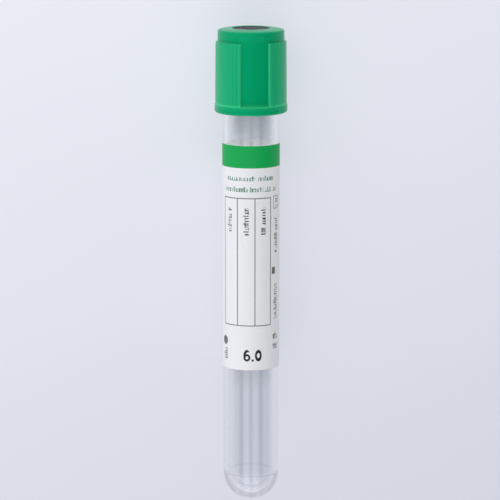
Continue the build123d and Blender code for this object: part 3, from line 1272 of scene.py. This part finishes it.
        # The border, side and flange bells are painted highlights; the side bell also paints light over the
        # shade on the pads' side walls.
        border_highlight = np.exp(-(((off_edge + self.border_highlight_width) / self.border_highlight_width) ** 2)) * level
        side = np.exp(-((off_edge / self.side_highlight_width) ** 2)) * level
        flange_highlight = np.exp(-(((height - self.flange_top) / self.flange_highlight_width) ** 2))
        collar = np.clip((height - self.pad_top) / 0.4, 0, 1)
        paler = self.pad_share * on_pad + self.border_highlight_share * border_highlight + self.side_highlight_share * side
        return np.clip(paler + self.flange_highlight_share * flange_highlight + self.collar_share * collar, 0, 1)

    def skin(self) -> Skin:
        """Builds the shield: the section between the pads, carried over to a pad's as each pad rises."""
        angles = self.angles()
        walls = self.wall_sections()
        rest = self.rest(walls[0][-1, 1] + 0.2)
        plain, pad = (np.concatenate([foot, wall, rest]) for foot, wall in zip(self.foot_sections(), walls))
        turn = (angles[:, None] - np.array(self.pad_middles) + 180) % 360 - 180
        inset = (self.pad_arc / 2 - np.abs(turn)).max(axis=1)
        share = self.rise(inset * self.per_degree)
        outline = plain[:, None] + share[None, :, None] * (pad - plain)[:, None]
        depth = self.grooves(inset, pad[:, 1]) * (pad[:, :1] > self.wall_radius + self.pad_proud / 2)
        grid = turned(outline, angles, -depth)
        return Skin(grid.reshape(-1, 3), cells(len(outline), len(angles), rows_close=True))

    def build(self, axis: TubeAxis) -> bpy.types.Object:
        """Builds and dresses the shield."""
        skin = self.skin()
        finishes = [MouldedGreen().material()]
        return make_piece("green_shield", skin, axis, finishes, paleness=self.paleness(skin.points))


@dataclass(frozen=True)
class Stopper:
    """The rubber stopper: ringed plug with a hollow, gripped head, neck and dished face."""

    foot: float = 91.6
    plug_radius: float = 5.0863
    plug_taper: float = 0.6
    mouth: float = 100.0
    head_radius: float = 6.75
    head_top: float = 107.8
    neck_radius: float = 4.27
    neck_top: float = 109.75
    face_radius: float = 3.87
    face_height: float = 109.55
    dish_radius: float = 2.0
    dish_floor: float = 109.25
    well_roof: float = 103.65
    well_roof_radius: float = 2.6
    well_mouth_radius: float = 3.2
    seals: tuple[tuple[float, float], ...] = ((93.8, 5.410), (97.6, 5.416))
    seal_rounding: float = 0.6
    grip_height: float = 103.5
    grip_centre: float = 6.8
    grip_radius: float = 0.4
    grip_reach: float = 0.5
    edge_rounding: float = 0.12
    rim_rounding: float = 0.1
    longest: float = 0.7
    columns: int = 160

    def seal(self, height: float, radius: float) -> Floats:
        """A sealing ring's back: an arc of its rounding, from the plug's wall out and back."""
        centre = radius - self.seal_rounding
        reach = float(np.degrees(np.arccos((self.plug_radius - centre) / self.seal_rounding)))
        return arc((centre, height), self.seal_rounding, -reach, reach, 13)

    def skin(self) -> Skin:
        """Builds the stopper from the hollow's roof, down round the plug and up to the dished face."""
        plug, head, neck, face = self.plug_radius, self.head_radius, self.neck_radius, self.face_radius
        edge, rim = self.edge_rounding, self.rim_rounding
        bite = float(np.degrees(np.arccos((self.grip_centre - head) / self.grip_radius)))
        grip = arc((self.grip_centre, self.grip_height), self.grip_radius, 180 + bite, 180 - bite, 13)
        lower = [
            (0.0, self.well_roof),
            (self.well_roof_radius, self.well_roof, 0.8),
            (self.well_mouth_radius, self.foot, 0.15),
            (plug - self.plug_taper, self.foot, edge),
            (plug, self.foot + self.plug_taper, edge),
            (plug, self.seals[0][0] - self.seal_rounding),
        ]
        shoulder = [
            (plug, self.seals[1][0] + self.seal_rounding),
            (plug, self.mouth, rim),
            (head, self.mouth, edge),
            (head, self.grip_height - self.grip_reach),
        ]
        upper = [
            (head, self.grip_height + self.grip_reach),
            (head, self.head_top, edge),
            (neck, self.head_top, 0.05),
            (neck, self.neck_top, rim),
            (face, self.neck_top, rim),
            (face, self.face_height, 0.08),
            (self.dish_radius, self.face_height),
        ]
        sag = self.face_height - self.dish_floor
        ball = (self.dish_radius**2 + sag**2) / (2 * sag)
        spread = float(np.degrees(np.arcsin(self.dish_radius / ball)))
        dish = arc((0.0, self.dish_floor + ball), ball, spread - 90, -90, 12)
        seals = [self.seal(height, radius) for height, radius in self.seals]
        runs = [rounded(lower)[1:], *seals, rounded(shoulder), grip, rounded(upper), dish[1:-1]]
        outline = filled(np.concatenate(runs), self.longest)
        return lathed(outline, self.columns, self.well_roof, self.dish_floor)

    def build(self, axis: TubeAxis) -> bpy.types.Object:
        """Builds and dresses the stopper."""
        return make_piece("rubber_stopper", self.skin(), axis, [StopperRubber().material()])


# ---------------------------------------------------------------- the studio


@dataclass(frozen=True)
class Studio:
    """A pale sheet under plain soft light, and the camera above it."""

    sheet: Colour = (0.275, 0.283, 0.31)
    sheet_half: float = 1.5
    sheet_lines: int = 9
    glow: Colour = (0.48, 0.492, 0.54)
    glow_spread: float = 0.12
    mottle: tuple[float, float] = (1.012, 0.985)
    glow_across: float = -0.055
    glow_along: float = 0.11
    sky: Colour = (0.97, 0.98, 1.0)
    sky_strength: float = 0.67
    sky_ends: tuple[float, float] = (2.0, 1.7)
    lens: float = 218.2
    camera_height: float = 684.9
    camera_beyond_rim: float = 73.67
    camera_pitch: float = 10.3
    camera_shift: float = -0.0020
    view_width: float = 0.114

    def lay_sheet(self) -> None:
        """Lays the sheet under the object: a diffuser with a faint tooth, lit softly from beneath.

        The glow from beneath rises evenly towards one corner, by glow_across and glow_along from one side of
        the view to the other.
        """
        grid = np.linspace(-self.sheet_half, self.sheet_half, self.sheet_lines)
        x, y = np.meshgrid(grid, grid, indexing="ij")
        points = np.stack([x, y, np.zeros_like(x)], axis=-1).reshape(-1, 3)
        faces = cells(self.sheet_lines, self.sheet_lines, columns_close=False)[:, ::-1]
        mesh = bpy.data.meshes.new("sheet")
        mesh.from_pydata(points, [], faces.tolist())
        recipe = Recipe(bpy.data.materials.new("pale_sheet"))
        cloud = recipe.noise(60.0, 3.0)
        paler, duller = (tuple(share * part for part in self.sheet) for share in self.mottle)
        across, along, _ = (place / self.view_width for place in recipe.parts(recipe.places))
        spread = self.glow_spread
        rise = (across * self.glow_across + along * self.glow_along).mapped(-spread, spread)
        dimmest, brightest = (tuple(part + step for part in self.glow) for step in (-spread, spread))
        matt = recipe.principled(
            {
                "Base Color": recipe.mix(cloud.mapped(0.35, 0.65), paler, duller),
                "Roughness": 0.85,
                "Specular IOR Level": 0.1,
                "Emission Color": recipe.mix(rise, dimmest, brightest),
                "Emission Strength": 1.0,
                "Normal": recipe.bumped(recipe.noise(0.5, 3.0), 0.01),
            }
        )
        mesh.materials.append(recipe.surface(matt))
        sheet = link(bpy.data.objects.new("sheet", mesh))

    def light_room(self) -> None:
        """Sets the room's own light.

        The room is brightest beyond the tube's two ends, by the square of how far a direction points along
        it, and fades out towards the right.
        """
        recipe = Recipe(bpy.data.worlds.new("room"))
        across, along, _ = recipe.parts(recipe.node("TexCoord").outputs["Generated"])
        near, far = self.sky_ends
        ends = along * along * ((along > 0.0) * (far - near) + near)
        strength = across.mapped(0.05, 0.75, self.sky_strength, 0.0) + ends
        light = recipe.node("Background", {"Color": self.sky, "Strength": strength})
        bpy.context.scene.world = recipe.surface(light)

    def set_camera(self, axis: TubeAxis, rim_top: float) -> None:
        """Puts the camera square above the tube's line, beyond the closure, tipped back to the round end.

        Args:
            axis: Where the tube lies.
            rim_top: Height of the rim of the closure's top above the round end.
        """
        data = bpy.data.cameras.new("camera")
        data.sensor_width = 36.0
        data.lens = self.lens
        data.shift_x = self.camera_shift
        data.clip_start, data.clip_end = 0.01, 10.0
        place = axis.place(np.array([0.0, -self.camera_height, rim_top + self.camera_beyond_rim]))
        pitch = np.radians(self.camera_pitch)
        back = np.cos(pitch) * axis.up + np.sin(pitch) * axis.along
        rows = np.stack([axis.side, np.cross(back, axis.side), back, place], axis=1)
        camera = link(bpy.data.objects.new("camera", data))
        camera.matrix_world = Matrix([*rows.tolist(), [0.0, 0.0, 0.0, 1.0]])
        bpy.context.scene.camera = camera


# ---------------------------------------------------------------- the whole


@dataclass
class CollectionTube:
    """The whole product: tube, label, shield and stopper on one axis."""

    axis: TubeAxis
    tube: ClearTube = field(default_factory=ClearTube)
    label: LabelWrap = field(default_factory=LabelWrap)
    shield: Shield = field(default_factory=Shield)
    stopper: Stopper = field(default_factory=Stopper)

    def build(self) -> None:
        """Builds every piece and puts it on its body, in place of its CAD node."""
        self.put(self.tube.build(self.axis), Body.TUBE, "tube")
        self.put(self.label.build(self.axis, self.tube), Body.TUBE, "label")
        self.put(self.shield.build(self.axis), Body.CLOSURE, "shield")
        self.put(self.stopper.build(self.axis), Body.CLOSURE, "stopper")

    def put(self, piece: bpy.types.Object, body: Body, node: str) -> None:
        """Ties a piece to the frame.

        Args:
            piece: The finished piece.
            body: The body that it moves with.
            node: The CAD node that it stands for.
        """
        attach(piece, body.value)
        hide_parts(node)
        LOG.info("%s: %d faces on %s", piece.name, len(piece.data.polygons), body.value)


def main() -> None:
    """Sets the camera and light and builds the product."""
    logging.basicConfig(level=logging.INFO, format="%(name)s: %(message)s")
    shield = Shield()
    axis = TubeAxis.from_record(frame["record"], shield.top)
    studio = Studio()
    studio.set_camera(axis, shield.rim_top)
    studio.light_room()
    studio.lay_sheet()
    bpy.context.scene.view_settings.view_transform = "Standard"
    CollectionTube(axis=axis, shield=shield).build()


if __name__ == "__main__":
    main()
